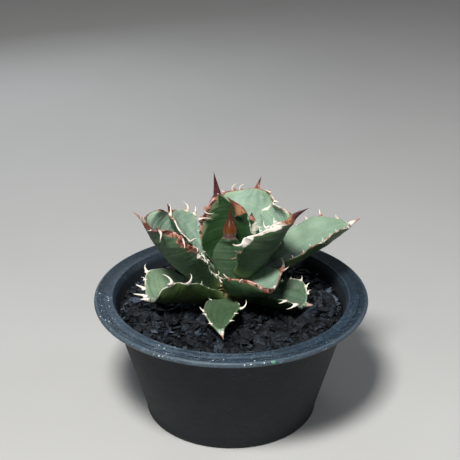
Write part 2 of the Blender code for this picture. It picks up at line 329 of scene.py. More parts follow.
def pot_material():
    graph = Graph("slate plastic")
    x, y, z = (graph.axis(number) for number in range(3))
    radius = (x * x + y * y) ** 0.5
    # Rings: a noise read along the radius and height alone, so that it runs round the pot.
    around = graph.vector(radius, z * 0.6, 0.0)
    rings = graph.noise(900.0, 3.0, 0.6, around)
    broad_rings = graph.noise(220.0, 2.0, 0.5, around)
    cloud = graph.noise(28.0, 4.0, 0.6)
    grit = graph.noise(600.0, 5.0, 0.7)
    worn = graph.noise(420.0, 2.0, 0.7, graph.vector(radius * 4.0, x * 0.35, y * 0.35))
    lip = z.step(LIP_FROM, LIP_FROM + 0.002)
    # The back of the lip is darkened with painted shade, and the front is lightened in patches of rubbed
    # wear that also carry a painted highlight.
    forwardness = x * -0.35 - y
    scuffs_and_front_highlight = forwardness.step(0.035, 0.08) * (worn * 0.5 + rings * 0.5).step(0.46, 0.56) * 0.42
    lip_colour = graph.coats(
        (0.008, 0.016, 0.027),
        (rings.step(0.35, 0.65), (0.026, 0.047, 0.071)),
        (broad_rings.step(0.42, 0.6) * 0.5, (0.036, 0.062, 0.092)),
        (grit.step(0.52, 0.64) * 0.65, (0.078, 0.122, 0.166)),
        (grit.step(0.46, 0.36) * 0.7, (0.010, 0.016, 0.024)),
        (cloud.step(0.60, 0.35) * 0.5, (0.014, 0.022, 0.031)),
        # Painted shade on the back of the lip, then the front's wear patches with their painted highlight.
        (forwardness.step(0.04, -0.05) * 0.55, (0.007, 0.012, 0.018)),
        (scuffs_and_front_highlight, (0.105, 0.150, 0.190)),
    )
    # A painted highlight along the rounded outer edge of the lip.
    edge = radius.step(LIP_RADIUS * MM - 0.0022, LIP_RADIUS * MM - 0.0008) * lip
    # Dried lime, thickest to the front and left, and one green fleck of algae.
    splashed = (0.005 - x * 0.6 - y).step(-0.02, 0.08) * 0.16
    drops = graph.cells(430.0).step(0.22, 0.12) * (graph.noise(60.0, 3.0) + splashed).step(0.66, 0.74)
    fine_drops = graph.cells(1250.0).step(0.24, 0.12) * (graph.noise(95.0, 2.0) + splashed).step(0.61, 0.70)
    lime = drops * 0.9 + fine_drops * 0.5
    from_fleck = graph.placed("DISTANCE", ALGAE_FLECK, out=1)
    fleck = (from_fleck + grit * 0.0008).step(FLECK_RADIUS * 1.5, FLECK_RADIUS)
    mouth = radius.step(MOUTH_RADIUS * MM + 0.0018, MOUTH_RADIUS * MM - 0.0002)
    # Painted shade darkens the inside of the mouth just below the lip.
    damp = z.step(LIP_FROM, LIP_FROM - 0.003) * mouth
    colour = graph.coats(
        (0.005, 0.009, 0.013),
        (cloud.step(0.3, 0.75), (0.011, 0.018, 0.026)),
        (lip, lip_colour),
        # painted highlight on the lip's outer edge
        (edge * 0.35, (0.10, 0.14, 0.17)),
        (lime * (lip * 0.9 + 0.1), (0.66, 0.70, 0.72)),
        (fleck, (0.10, 0.32, 0.20)),
        # painted shade inside the mouth
        (damp * 0.6, (0.012, 0.014, 0.016)),
    )
    rough = 0.58 - lip * 0.2 + worn * 0.22 + lime * 0.3
    grooves = graph.bump(rings * 0.6 + worn * 0.4, 0.0001, 0.5)
    return graph.finish(
        Base_Color=colour,
        Roughness=rough,
        Specular_IOR_Level=0.3,
        Normal=graph.bump(cloud + grit * 0.5 + lime * 0.6, 0.0004, 0.45, grooves),
    )


half_lip = LIP_THICKNESS / 2
lip_bottom = POT_HEIGHT - LIP_THICKNESS
pot_outline = np.concatenate(
    [
        [(0.0, FLOOR), (inner_radius(FLOOR) - 2.0, FLOOR), (inner_radius(FLOOR), FLOOR + 1.0)],
        [(inner_radius(z), z) for z in np.linspace(12.0, POT_HEIGHT - 1.4, 12)],
        arc((MOUTH_RADIUS + 1.0, POT_HEIGHT - 1.0), (1.0, 1.0), 180, 100, 7),
        lip_top(),
        arc((LIP_RADIUS - half_lip, lip_bottom + half_lip), (half_lip, half_lip), 80, -90, 14),
        [(inner_radius(lip_bottom) + WALL + 0.8, lip_bottom)],
        [(inner_radius(z) + WALL, z) for z in np.linspace(lip_bottom - 0.8, 4.0, 14)],
        arc((BASE_RADIUS - 1.5, 1.5), (1.5, 1.5), 0, -90, 6),
        [(0.0, 0.0)],
    ]
)
pot = mesh_object("pot_shell", *turned_surface(pot_outline, POT_TURNS), pot_material())
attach(pot, "root")
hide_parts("pot")


# ---------------------------------------------------------------------------------------------
# The growing mix. Damp fibrous soil fills the bowl, and hardly shows. Over it lies a bed of
# broken black lava: angular chips from grit up to thumbnail size, with a few long splinters.

GRAVEL_TOP = 64.0
BED_TOP = 61.6
BLOCK_COUNT = 56
SHARD_COUNT = 560
GRIT_COUNT = 900
SPLINTER_COUNT = 46
CHIP_SIDES = 7


def soil_material():
    graph = Graph("damp soil")
    crumbs = graph.noise(300.0, 5.0, 0.7)
    fibre = graph.noise(60.0, 4.0, 0.6, graph.placed("MULTIPLY", (1.0, 6.0, 1.0)))
    return graph.finish(
        Base_Color=graph.coats(
            (0.018, 0.012, 0.008),
            (crumbs.step(0.35, 0.7), (0.075, 0.052, 0.034)),
            (fibre.step(0.6, 0.7) * 0.5, (0.16, 0.11, 0.06)),
        ),
        Roughness=0.95,
        Normal=graph.bump(crumbs, 0.0008, 0.8),
    )


def chip_material():
    graph = Graph("black lava")
    tone = graph.attribute("tone")
    pits = graph.noise(900.0, 4.0, 0.65)
    face = graph.noise(330.0, 4.0, 0.6)
    layers = graph.noise(900.0, 2.0, 0.5, graph.placed("MULTIPLY", (0.25, 0.4, 1.0)))
    dust = graph.cells(1500.0).step(0.22, 0.10) * graph.noise(130.0, 2.0).step(0.52, 0.7)
    return graph.finish(
        Base_Color=graph.coats(
            (0.001, 0.002, 0.003),
            (tone * tone * tone, (0.125, 0.168, 0.225)),
            (face.step(0.50, 0.66) * 0.45, (0.044, 0.062, 0.088)),
            (pits.step(0.53, 0.38) * 0.85, (0.002, 0.002, 0.003)),
            (dust * 0.4, (0.26, 0.28, 0.30)),
        ),
        Roughness=0.36 + face * 0.4,
        Specular_IOR_Level=0.3,
        Normal=graph.bump(pits + face * 0.9 + layers * 0.7, 0.0009, 1.0),
    )


def chip_shapes(random, count):
    """Broken stones as (count, 3 rings, sides) points about the origin, of unit half-size.

    Each ring is a ragged polygon. The middle one is widest, and the outer two are shrunk,
    slid sideways and tilted, so a chip has flat broken faces that meet at sharp edges.
    """
    turn = (np.arange(CHIP_SIDES) + random.uniform(-0.42, 0.42, (count, CHIP_SIDES))) * (
        math.tau / CHIP_SIDES
    )
    reach = random.uniform(0.62, 1.15, (count, 1, CHIP_SIDES))
    shrink = np.stack(
        [random.uniform(0.4, 0.85, count), np.ones(count), random.uniform(0.3, 0.9, count)], 1
    )[..., None]
    radius = reach * shrink * random.uniform(0.85, 1.15, (count, 3, CHIP_SIDES))
    height = np.array([-0.5, 0.0, 0.5])[None, :, None] * random.uniform(0.6, 1.3, (count, 3, 1))
    tilt = random.uniform(-0.35, 0.35, (count, 3, 2))
    slide = random.uniform(-0.22, 0.22, (count, 3, 2)) * np.array([1, 0, 1])[None, :, None]
    x = radius * np.cos(turn)[:, None] + slide[..., :1]
    y = radius * np.sin(turn)[:, None] + slide[..., 1:]
    z = height + tilt[..., :1] * x + tilt[..., 1:] * y
    return np.stack([x, y, z], -1)


def turned_about(points, turn, tip, lean):
    """Points (count, n, 3) tipped by tip about a level axis at angle lean, then turned by turn."""
    level = np.stack([np.cos(lean), np.sin(lean), np.zeros_like(lean)], -1)[:, None]
    cos, sin = np.cos(tip)[:, None, None], np.sin(tip)[:, None, None]
    tipped = points * cos + np.cross(level, points) * sin
    tipped += level * (points * level).sum(-1, keepdims=True) * (1 - cos)
    cos, sin = np.cos(turn)[:, None], np.sin(turn)[:, None]
    x = tipped[..., 0] * cos - tipped[..., 1] * sin
    y = tipped[..., 0] * sin + tipped[..., 1] * cos
    return np.stack([x, y, tipped[..., 2]], -1)


def spread_places(random, count, outer, relax):
    """count points in a disc, eased apart by pushing each away from its nearest neighbour."""
    radius = outer * np.sqrt(random.uniform(0, 1, count))
    angle = random.uniform(0, math.tau, count)
    places = np.stack([radius * np.cos(angle), radius * np.sin(angle)], -1)
    for _ in range(relax):
        gap = places[:, None] - places[None]
        distance = np.hypot(gap[..., 0], gap[..., 1]) + np.eye(count) * 1e3
        nearest = distance.argmin(1)
        rows = np.arange(count)
        push = gap[rows, nearest] / (distance[rows, nearest][:, None] + 0.01)
        places = places + push * 0.25
        reach = np.hypot(*places.T)
        places *= np.minimum(1, outer / np.maximum(reach, 0.01))[:, None]
    return places


def chips(random, count, sizes, outer):
    """All chips as one set of points, quads and triangles, with a tone for each point.

    sizes is (count, 3): half-length, half-width and thickness. They lie nearly flat, heaped
    3 mm deep, each turned at random and with a tone of its own.
    """
    shape = chip_shapes(random, count) * sizes[:, None, None, :]
    poles = np.stack([shape[:, 0].mean(1), shape[:, 2].mean(1)], 1)
    points = np.concatenate([shape.reshape(count, -1, 3), poles], 1)
    turn = random.uniform(0, math.tau, count)
    tip = random.normal(0, 0.38, count)
    points = turned_about(points, turn, tip, random.uniform(0, math.tau, count))
    places = spread_places(random, count, outer, 24)
    # A long chip lies further in, so that none reaches into the pot's wall.
    span = np.hypot(points[..., 0], points[..., 1]).max(1)
    most = inner_radius(GRAVEL_TOP - 4.0) - 0.3 - span
    places *= np.minimum(1, most / np.maximum(np.hypot(*places.T), 0.01))[:, None]
    layer = random.uniform(-2.2, 0.9, count)
    lowest = points[..., 2].min(1)
    height = np.maximum(GRAVEL_TOP - 1.2 + layer, BED_TOP - lowest - 1.3)
    points += np.concatenate([places, height[:, None]], 1)[:, None]
    tone = np.repeat(random.beta(1.6, 2.6, count), points.shape[1])
    rings = points[:, :-2].reshape(shape.shape)
    return *tubes(rings, points[:, -2:]), tone


def stone_sizes(random, half, slimness, flatness):
    """(count, 3) half-length, half-width and thickness for stones of these half-sizes."""
    count = len(half)
    return np.stack(
        [
            half * random.uniform(1.0, 1.6, count),
            half * random.uniform(*slimness, count),
            half * random.uniform(*flatness, count),
        ],
        -1,
    )


repaint("soil", soil_material())

random = np.random.default_rng(7)
block_half = random.uniform(4.2, 6.0, BLOCK_COUNT)
shard_half = 1.4 + 3.0 * random.beta(1.3, 2.4, SHARD_COUNT)
grit_half = random.uniform(0.5, 1.4, GRIT_COUNT)
splinter_half = random.uniform(3.5, 6.5, SPLINTER_COUNT)
sizes = np.concatenate(
    [
        stone_sizes(random, block_half, (0.6, 0.9), (0.5, 0.9)),
        stone_sizes(random, shard_half, (0.45, 1.0), (0.45, 1.1)),
        stone_sizes(random, grit_half, (0.6, 1.0), (0.6, 1.3)),
        stone_sizes(random, splinter_half, (0.14, 0.26), (0.14, 0.24)),
    ]
)
outer = inner_radius(GRAVEL_TOP) - 1.5
chip_points, chip_quads, chip_triangles, chip_tone = chips(random, len(sizes), sizes, outer)
lava = chip_material()
gravel = mesh_object(
    "gravel_chips", chip_points, chip_quads, chip_triangles, lava, smooth=False, tone=chip_tone
)
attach(gravel, "root")
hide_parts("gravel")

bed_radius = inner_radius(BED_TOP) - 0.3
bed_outline = np.concatenate(
    [
        [(0.0, BED_TOP)],
        [(r, BED_TOP + 0.5 * math.sin(2.1 * r)) for r in np.linspace(3.0, bed_radius, 24)],
        [(inner_radius(55.0) - 0.3, 55.0), (0.0, 55.0)],
    ]
)
bed_points, bed_quads, bed_triangles = turned_surface(bed_outline, 96)
bed = mesh_object(
    "gravel_bed", bed_points, bed_quads, bed_triangles, lava, tone=np.full(len(bed_points), 0.05)
)
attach(bed, "root")


# ---------------------------------------------------------------------------------------------
# The stem. A short woody post hidden by the leaves and ringed with the scars of old ones. A few
# dry papery scales curl out from it, low at the front.


def stem_material():
    graph = Graph("old stem")
    z = graph.axis(2)
    scars = graph.noise(700.0, 3.0, 0.6, graph.vector(z, z * 0.2, 0.0))
    grain = graph.noise(250.0, 4.0, 0.6)
    return graph.finish(
        Base_Color=graph.coats(
            (0.085, 0.060, 0.025),
            (scars.step(0.4, 0.65), (0.30, 0.27, 0.13)),
            (grain.step(0.55, 0.7) * 0.5, (0.42, 0.38, 0.24)),
        ),
        Roughness=0.85,
        Normal=graph.bump(scars + grain, 0.0006, 0.7),
    )


PLANT_X = 2.0
PLANT_Y = 4.0
SCALE_COUNT = 9
SCALE_RINGS = 12
SCALE_SIDES = 8


def scale_material():
    graph = Graph("dry leaf scale")
    fibre = graph.noise(900.0, 4.0, 0.6, graph.placed("MULTIPLY", (0.4, 0.4, 1.6)))
    age = graph.noise(160.0, 3.0, 0.6)
    return graph.finish(
        Base_Color=graph.coats(
            (0.20, 0.15, 0.045),
            (fibre.step(0.35, 0.65), (0.56, 0.50, 0.26)),
            (age.step(0.42, 0.62) * 0.7, (0.24, 0.31, 0.07)),
        ),
        Roughness=0.8,
        Normal=graph.bump(fibre, 0.0005, 0.6),
    )


def dry_scales(random):
    """Papery strips, each a thin pointed tube that leaves the stem level and curls up.

    At share t of a strip its radius from the axis grows evenly, its height goes as t squared,
    and its half-width as (1 - t) to the 0.7th power; a ring is a flat oval across the strip.
    """
    t = np.linspace(0, 0.97, SCALE_RINGS)[None, :]
    turn = np.radians(np.linspace(205, 262, SCALE_COUNT) + random.uniform(-3, 3, SCALE_COUNT))[:, None]
    turn = turn + random.uniform(-0.25, 0.25, (SCALE_COUNT, 1)) * t**2
    radius = 7.0 + random.uniform(4.5, 8.5, (SCALE_COUNT, 1)) * t
    height = GRAVEL_TOP + random.uniform(9.5, 12.5, (SCALE_COUNT, 1))
    height = height + random.uniform(0.5, 4.5, (SCALE_COUNT, 1)) * t**2
    half = random.uniform(0.5, 1.4, (SCALE_COUNT, 1)) * (1 - t) ** 0.7
    around = np.arange(SCALE_SIDES) * math.tau / SCALE_SIDES
    side = half[..., None] * np.cos(around)
    lift = 0.16 * np.sin(around) + 0.10 * side**2
    x = PLANT_X + radius[..., None] * np.cos(turn)[..., None] - side * np.sin(turn)[..., None]
    y = PLANT_Y + radius[..., None] * np.sin(turn)[..., None] + side * np.cos(turn)[..., None]
    rings = np.stack([x, y, height[..., None] + lift], -1)
    return tubes(rings, np.stack([rings[:, 0].mean(1), rings[:, -1].mean(1)], 1))


repaint("stem", stem_material())

scales = mesh_object("dry_scales", *dry_scales(np.random.default_rng(21)), scale_material())
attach(scales, "root")


# ---------------------------------------------------------------------------------------------
# The leaves. Each is one thick cupped blade of waxy flesh, grown with a horny rim that swells
# into curved teeth and closes in a long end spine. They spiral round the stem, foot to foot.

BLADE_RINGS = 130
SPINE_RINGS = 24
RING_POINTS = 60
TOOTH_SIDES = 8
TOOTH_RINGS = 8

# What the leaves of one age share. root is the foot's distance from the stem's axis and rise its
# height over the gravel; wide_at is where along the blade it is widest, foot the share of that
# width left at its foot, shoulder how square it ends (lower is squarer), cup how far each half
# folds up, and spine and spine_radius the end spine's length and its radius where it starts.
AGES = {
    "outer": dict(
        root=10, rise=5, wide_at=0.75, foot=0.35, shoulder=0.6, cup=55, thick=6.5, spine=5,
        spine_radius=1.7,
    ),
    "middle": dict(
        root=10, rise=9.5, wide_at=0.7, foot=0.3, shoulder=0.6, cup=60, thick=5.5, spine=7,
        spine_radius=1.6,
    ),
    "inner": dict(
        root=8, rise=16, wide_at=0.7, foot=0.35, shoulder=0.6, cup=40, thick=4.5, spine=8,
        spine_radius=1.5,
    ),
    "heart": dict(
        root=4, rise=20, wide_at=0.5, foot=0.5, shoulder=0.7, cup=45, thick=4.0, spine=8,
        spine_radius=1.5,
    ),
}  # fmt: skip


def grown(
    age, turn, lift, length, width, curl=0, crook=0, sway=0, roll=0, twist=0, root_turn=0, **own
):
    """A leaf's sizes: its age's, then its own.

    turn is its compass direction, from +X towards +Y, and root_turn how far round the stem from
    there its foot sits. lift is the pitch at the foot; curl, sway and twist are what pitch,
    direction and roll gain by the tip. crook is what pitch gains besides where the blade passes
    into its spine, so that the spine points more level.
    """
    pose = {"turn": turn, "lift": lift, "curl": curl, "crook": crook, "sway": sway, "roll": roll}
    size = {"length": length, "width": width, "twist": twist, "root_turn": root_turn}
    return {**AGES[age], **pose, **size, **own}


LEAVES = {
    "left_low": grown(
        "outer", 200, 10, 40, 54, curl=-5, roll=16, root_turn=14, root=11, foot=0.28, thick=5.6
    ),
    "front_low": grown(
        "outer", 249, 9, 39, 20, curl=-15, sway=32, root_turn=12, root=11, wide_at=0.45,
        foot=0.25, shoulder=0.85, cup=35, thick=6, spine=8,
    ),
    "right_low": grown(
        "outer", 340, 0, 32, 32, roll=-8, twist=8, root_turn=-10, root=9.5, spine=6
    ),
    "front_right": grown(
        "outer", 305, 15, 32, 38, curl=15, sway=-8, roll=5, twist=-20, root_turn=-20, root=8,
        rise=11.5, wide_at=0.45, foot=0.55, shoulder=0.85, cup=60, spine=3,
    ),
    "left_high": grown(
        "middle", 196, 35, 57, 50, curl=35, crook=-30, sway=-5, roll=10, twist=-10, root_turn=-5,
        root=11, rise=10, shoulder=0.45, cup=70, spine=10,
    ),
    "left_inner": grown(
        "inner", 167, 44, 45, 31, curl=20, sway=-5, roll=15, twist=-10, root_turn=10, rise=14.5,
        foot=0.32, spine=5,
    ),
    "right_high": grown(
        "middle", 14, 28, 63, 40, sway=-5, roll=-5, root_turn=5, wide_at=0.65, shoulder=0.8, cup=45
    ),
    "right_inner": grown(
        "inner", 330, 50, 45, 50, curl=18, crook=-35, sway=6, roll=10, root=8.8, rise=19.6, foot=0.48,
        shoulder=0.95, cup=75, spine=12, spine_radius=2.2,
    ),
    "back_high": grown(
        "inner", 75, 45, 48, 36, curl=-5, sway=-10, roll=-5, root_turn=5, root=7.5, rise=16.5, thick=4
    ),
    "heart_left": grown(
        "heart", 125, 75, 41, 30, roll=-15, twist=-10, root_turn=10, root=5, rise=19, wide_at=0.4,
        shoulder=0.9, cup=35, thick=4.8, spine=12, spine_radius=2,
    ),
    "heart_front": grown(
        "heart", 260, 82, 26, 20.5, curl=15, sway=-5, roll=10, root_turn=-10, root=8, rise=16.5,
        wide_at=0.4, foot=0.56, shoulder=0.6, spine=20, spine_radius=3.4,
    ),
    "heart_right": grown(
        "heart", 180, 92, 34, 9, curl=-10, crook=-35, roll=90, root_turn=165, root=4.5, wide_at=0.6,
        foot=0.45, shoulder=0.5, thick=3, spine=11, spine_radius=2.8,
    ),
    "heart_side": grown(
        "heart", 180, 102, 29, 7, curl=-8, roll=90, root_turn=205, root=5, wide_at=0.75,
        foot=0.3, shoulder=0.45, thick=3, spine=3,
    ),
    "heart_back": grown("heart", 180, 90, 20, 5, root=1, rise=24.5, spine=7),
    "back_left_low": grown("outer", 138, 12, 34, 29, root=9, foot=0.45, cup=30),
    "back_low": grown("middle", 92, 12, 40, 28, roll=-8, root_turn=-8, root=9, rise=9, cup=30, thick=4.5),
    "back_right_low": grown("outer", 60, 10, 30, 28, root=9.5, rise=4, cup=30, thick=5),
    "back_left_mid": grown("inner", 122, 28, 33, 21, rise=12, cup=30),
    "back_right_mid": grown("inner", 40, 34, 30, 24, roll=-12, rise=13.5, cup=30),
}  # fmt: skip

LEFT, RIGHT = 1, -1  # which way a rim lies from the midrib

# The large teeth of each leaf's left rim, seen from the foot, and then of its right: how far along
# the blade each stands, how long it is, how far its point leans from straight out towards the
# leaf's tip, and how steeply it rises. A lean past 90 hooks it back over the face. The small teeth
# between them are grown by a rule.
TEETH = {
    "left_low": (
        [(0.42, 2, 0, 75), (0.65, 6, 0, 75), (0.85, 8, 120, 45)],
        [(0.85, 5.5, -15, 45), (0.93, 4, 20, 15), (0.96, 7, 20, 10), (0.99, 8, 45, 10)],
    ),
    "front_low": (
        [(0.45, 5, -60, 60), (0.65, 1.5, 0, 0), (0.8, 1.5, 20, 0)],
        [(0.6, 2.5, -30, 45), (0.7, 1.5, 0, 15), (0.85, 1.5, 15, 0)],
    ),
    "right_low": (
        [
            (0.45, 2, -30, 30), (0.6, 2, -30, 30), (0.78, 3, -30, 25), (0.9, 3, 20, 10),
            (0.95, 4, 20, 5),
        ],
        [(0.78, 4, -45, -10), (0.92, 6, -50, -15)],
    ),
    "front_right": (
        [(0.55, 8, -60, 50), (0.62, 5, 0, 25)],
        [(0.15, 4, -120, 45), (0.35, 3, -20, 50), (0.55, 4, -15, 50), (0.75, 2.5, 20, -50)],
    ),
    "left_high": (
        [
            (0.1, 4, 60, 45), (0.2, 2, 0, -40), (0.35, 2, 0, -45), (0.5, 3.5, 60, 60),
            (0.6, 2, -45, -45), (0.83, 5.5, -40, -20), (0.95, 9, -10, -15), (0.98, 3, 45, -30),
        ],
        [],
    ),
    "left_inner": (
        [
            (0.36, 3.5, -55, 0), (0.47, 2.5, -60, 10), (0.62, 5.5, 0, 75), (0.78, 3, 120, 0),
            (0.98, 8, 130, 5),
        ],
        [(0.75, 5.5, 30, 15), (0.86, 6.5, 70, -10)],
    ),
    "heart_left": ([(0.56, 2, 55, 0), (0.7, 7.5, 190, 5), (0.82, 6, 205, 5)], []),
    "right_inner": (
        [(0.86, 2, 35, 20)],
        [
            (0.27, 3.5, 0, 45), (0.42, 3.5, 20, 50), (0.58, 5.5, 10, 50), (0.83, 3, 135, 50),
            (0.88, 5.5, 160, 45), (0.93, 4.5, 180, 25),
        ],
    ),
    "back_high": (
        [(0.83, 2.5, 45, 15), (0.9, 5.5, 110, 15), (0.94, 4.5, 125, 15)],
        [(0.66, 2, -25, -15), (0.73, 2.5, 0, -10), (0.81, 2.5, 0, -10), (0.9, 4.5, 160, 20)],
    ),
    "right_high": (
        [(0.69, 2, 20, 30), (0.81, 4, 10, 25), (0.92, 3, 10, 20)],
        [
            (0.41, 2, 200, 60), (0.51, 2, 150, 55), (0.6, 2.5, 165, 55), (0.7, 3, 135, 55),
            (0.78, 2, 135, 50), (0.85, 2, 135, 50),
        ],
    ),
    "heart_side": ([(0.8, 2, 15, 0)], []),
}  # fmt: skip


def smoothstep(share):
    share = np.clip(share, 0, 1)
    return share * share * (3 - 2 * share)


def blade_profile(leaf, share):
    """Half-width over the widest half-width: a swelling foot, then a shoulder down to the spine."""
    swell = np.sin(math.pi / 2 * np.clip(share / leaf["wide_at"], 0, 1)) ** 1.3
    fall = np.clip((share - leaf["wide_at"]) / (1 - leaf["wide_at"]), 0, 1)
    ending = np.cos(math.pi / 2 * fall) ** leaf["shoulder"]
    return np.where(share < leaf["wide_at"], leaf["foot"] + (1 - leaf["foot"]) * swell, ending)


def leaf_frame(leaf, along):
    """Midrib points and the left, up and forward directions at distances along the leaf.

    Pitch and direction change with the 1.5th power of the share of the blade passed, the crook
    comes in where blade passes into spine, and the midrib adds up the steps that they give.
    """
    share = np.clip(along / leaf["length"], 0, 1)
    past = np.clip((along - leaf["length"]) / leaf["spine"], 0, 1)
    towards_spine = smoothstep((along / leaf["length"] - 0.85) / 0.3)
    pitch = np.radians(leaf["lift"] + leaf["curl"] * share**1.5 + leaf["crook"] * towards_spine)
    heading = np.radians(leaf["turn"] + leaf["sway"] * share**1.5)
    forward = np.stack(
        [np.cos(pitch) * np.cos(heading), np.cos(pitch) * np.sin(heading), np.sin(pitch)], -1
    )
    foot_angle = math.radians(leaf["turn"] + leaf["root_turn"])
    foot = np.array(
        [
            PLANT_X + leaf["root"] * math.cos(foot_angle),
            PLANT_Y + leaf["root"] * math.sin(foot_angle),
            GRAVEL_TOP + leaf["rise"],
        ]
    )
    steps = (forward[1:] + forward[:-1]) / 2 * np.diff(along)[:, None]
    midrib = foot + np.concatenate([np.zeros((1, 3)), np.cumsum(steps, 0)])
    level = np.stack([-np.sin(heading), np.cos(heading), np.zeros_like(heading)], -1)
    raised = np.cross(forward, level)
    roll = np.radians(leaf["roll"] + leaf["twist"] * share)[:, None]
    left = level * np.cos(roll) + raised * np.sin(roll)
    up = raised * np.cos(roll) - level * np.sin(roll)
    return midrib, left, up, forward, share, past


def near_teeth(share, length, teeth, side, half_width):
    """The sizes of one margin's teeth, each spread along it as a bell curve."""
    mine = np.array([tooth[1:3] for tooth in teeth if tooth[0] == side] or [(0.0, 0.0)])
    bells = np.exp(-(((share[:, None] - mine[:, 0]) * length / half_width) ** 2))
    return bells @ mine[:, 1]


def horn_width(share, length, finish, widest, teeth, side):
    """The horny rim's width in mm.

    It is a hairline that widens in patches, from the share where the leaf's horn sets in, flares
    once in a bell curve, spreads round the root of each tooth, and takes the whole of the spine.
    """
    far = share * length
    patches = 0.7 + 0.35 * np.sin(far * 0.6 + side) * np.sin(far * 0.25 + 2.0)
    patches = patches + 0.15 * np.sin(far * 1.5 + 2 * side)
    towards_tip = widest * patches * smoothstep((share - finish["sets_in"]) / 0.45)
    at_teeth = 0.10 * near_teeth(share, length, teeth, side, 1.1)
    at_flare = widest * finish["flare"] * np.exp(-(((share - 0.66) / 0.07) ** 2))
    at_spine = 5.0 * smoothstep((share - 0.955) / 0.045)
    hair = finish["hair"] * (0.7 + 0.3 * np.sin(far * 0.9 + side))
    return hair + towards_tip + at_flare + at_teeth + at_spine


def knobs(along, seed):
    """A rough run of swellings along a rim, between -1 and 1: four sine waves that never agree."""
    waves = [(1.7, 0.9), (2.9, 2.3), (4.3, 4.1), (0.8, 5.7)]
    return sum(np.sin(along * rate + seed * (k + 1) + lag) for k, (rate, lag) in enumerate(waves)) / 4


def by_side(across, on_left, on_right):
    """on_left for the half of each ring at the left margin, and on_right for the other."""
    return np.where(across > 0, on_left[:, None], on_right[:, None])


def blade(leaf, finish, teeth, phase):
    """The leaf and its end spine as one tube of lens-shaped rings.

    A ring runs round by angle a: cos a is the place across the blade, bent along an arc of
    half-angle cup, and sin a pushes out to the flat upper face or the fuller lower one. The
    rim is thickened into a knobbly bead of horn, bulges under each tooth and waves slowly.
    """
    length, spine, tip = leaf["length"], leaf["spine"], leaf["spine_radius"]
    spread = np.linspace(0, 1, BLADE_RINGS)
    in_spine = np.arange(1, SPINE_RINGS + 1) / SPINE_RINGS
    along = np.concatenate([length * spread, length + spine * in_spine])
    midrib, left, up, forward, share, past = leaf_frame(leaf, along)
    needle = finish["needle"]
    bulge = 1 + finish["bulb"] * np.sin(math.pi * np.clip(past * 2, 0, 1))
    taper = (1 - past) ** needle * bulge
    flesh = leaf["width"] / 2 * blade_profile(leaf, share) * (past == 0)
    half = (flesh**3 + (tip * taper) ** 3) ** (1 / 3)
    to_spine = smoothstep((share - 0.8) / 0.2)
    thick = leaf["thick"] * (1 - 0.55 * share) * (1 - to_spine) + 1.7 * tip * to_spine * taper
    cup = np.radians(leaf["cup"]) * (1 - smoothstep((share - 0.92) / 0.08)) + 0.0001
    around = np.arange(RING_POINTS) * math.tau / RING_POINTS
    across = np.cos(around)[None] * np.ones_like(share)[:, None]
    lift = np.sin(around)[None] * np.ones_like(share)[:, None]
    on_blade = (1 - smoothstep((share - 0.93) / 0.07))[:, None]
    past_foot = smoothstep(share / 0.25)[:, None]
    in_blade = on_blade * past_foot

    rim_gap = (1 - np.abs(across)) * half[:, None]
    widths = [
        horn_width(share, length, finish, widest, teeth, side)
        for widest, side in zip(finish["horn"], (LEFT, RIGHT))
    ]
    width = by_side(across, *widths)
    rough = by_side(across, knobs(share * length, phase), knobs(share * length, phase + 2))
    bead = (0.10 + 0.20 * np.minimum(width, 2.4)) * np.exp(-((rim_gap / (0.3 + 0.6 * width)) ** 2))
    bead = bead * (1 + 0.45 * rough) * in_blade
    teats = [
        np.minimum(0.28 * near_teeth(share, length, teeth, side, 1.9), 1.4) for side in (LEFT, RIGHT)
    ]
    swell = by_side(across, *teats)
    near_rim = np.abs(across) ** 12
    outward = near_rim * in_blade * (swell + 0.28 * rough + bead - 0.25)

    bend = cup[:, None] * across
    depth = lift * np.where(lift > 0, 0.3, 0.7) * thick[:, None] + bead * lift
    keel = 0.22 * thick[:, None] * np.exp(-((across / 0.22) ** 2)) * (lift < 0) * in_blade
    reach = (half / cup)[:, None] * np.sin(bend) - np.sin(bend) * depth
    reach += np.sign(across) * outward
    far = (share * length)[:, None]
    wave = finish["wave"] * np.sin(far * 0.42 + phase * 2 + np.sign(across)) * np.abs(across) ** 4
    arcs = far + 2.6 * across**2
    prints = np.sin(arcs * 1.9 + phase) + 0.7 * np.sin(arcs * 3.1 + 2 * phase) + 0.5 * np.sin(arcs * 0.8)
    prints *= finish["ripples"] * 0.09 * (1 - near_rim)
    folds = finish["stripes"] * 0.22 * np.cos(across * 16 + phase) * (1 - np.abs(across) ** 3)
    dent = 0.10 * np.sin(far * 0.7 + across * 4 + phase) * (1 - near_rim)
    height = (half / cup)[:, None] * (1 - np.cos(bend)) + np.cos(bend) * depth - keel
    height += (wave + prints + folds + dent) * in_blade
    groove = 0.22 * tip * np.exp(-(((around - math.pi / 2) / 0.35) ** 2))[None]
    height -= groove * (smoothstep((share - 0.97) / 0.03) * (1 - past))[:, None]
    rings = midrib[:, None] + left[:, None] * reach[..., None] + up[:, None] * height[..., None]
    rim = np.where(share[:, None] >= 1, 0.0, rim_gap / width)
    horny = smoothstep((width - 0.06) / 0.3)
    upper = smoothstep(lift * 2.5 + 0.5)
    marks = np.broadcast_arrays(share[:, None], rim, horny, upper, past[:, None])
    return {
        "rings": rings,
        "marks": np.stack(marks, -1),
        "along": along,
        "left": left,
        "up": up,
        "forward": forward,
    }


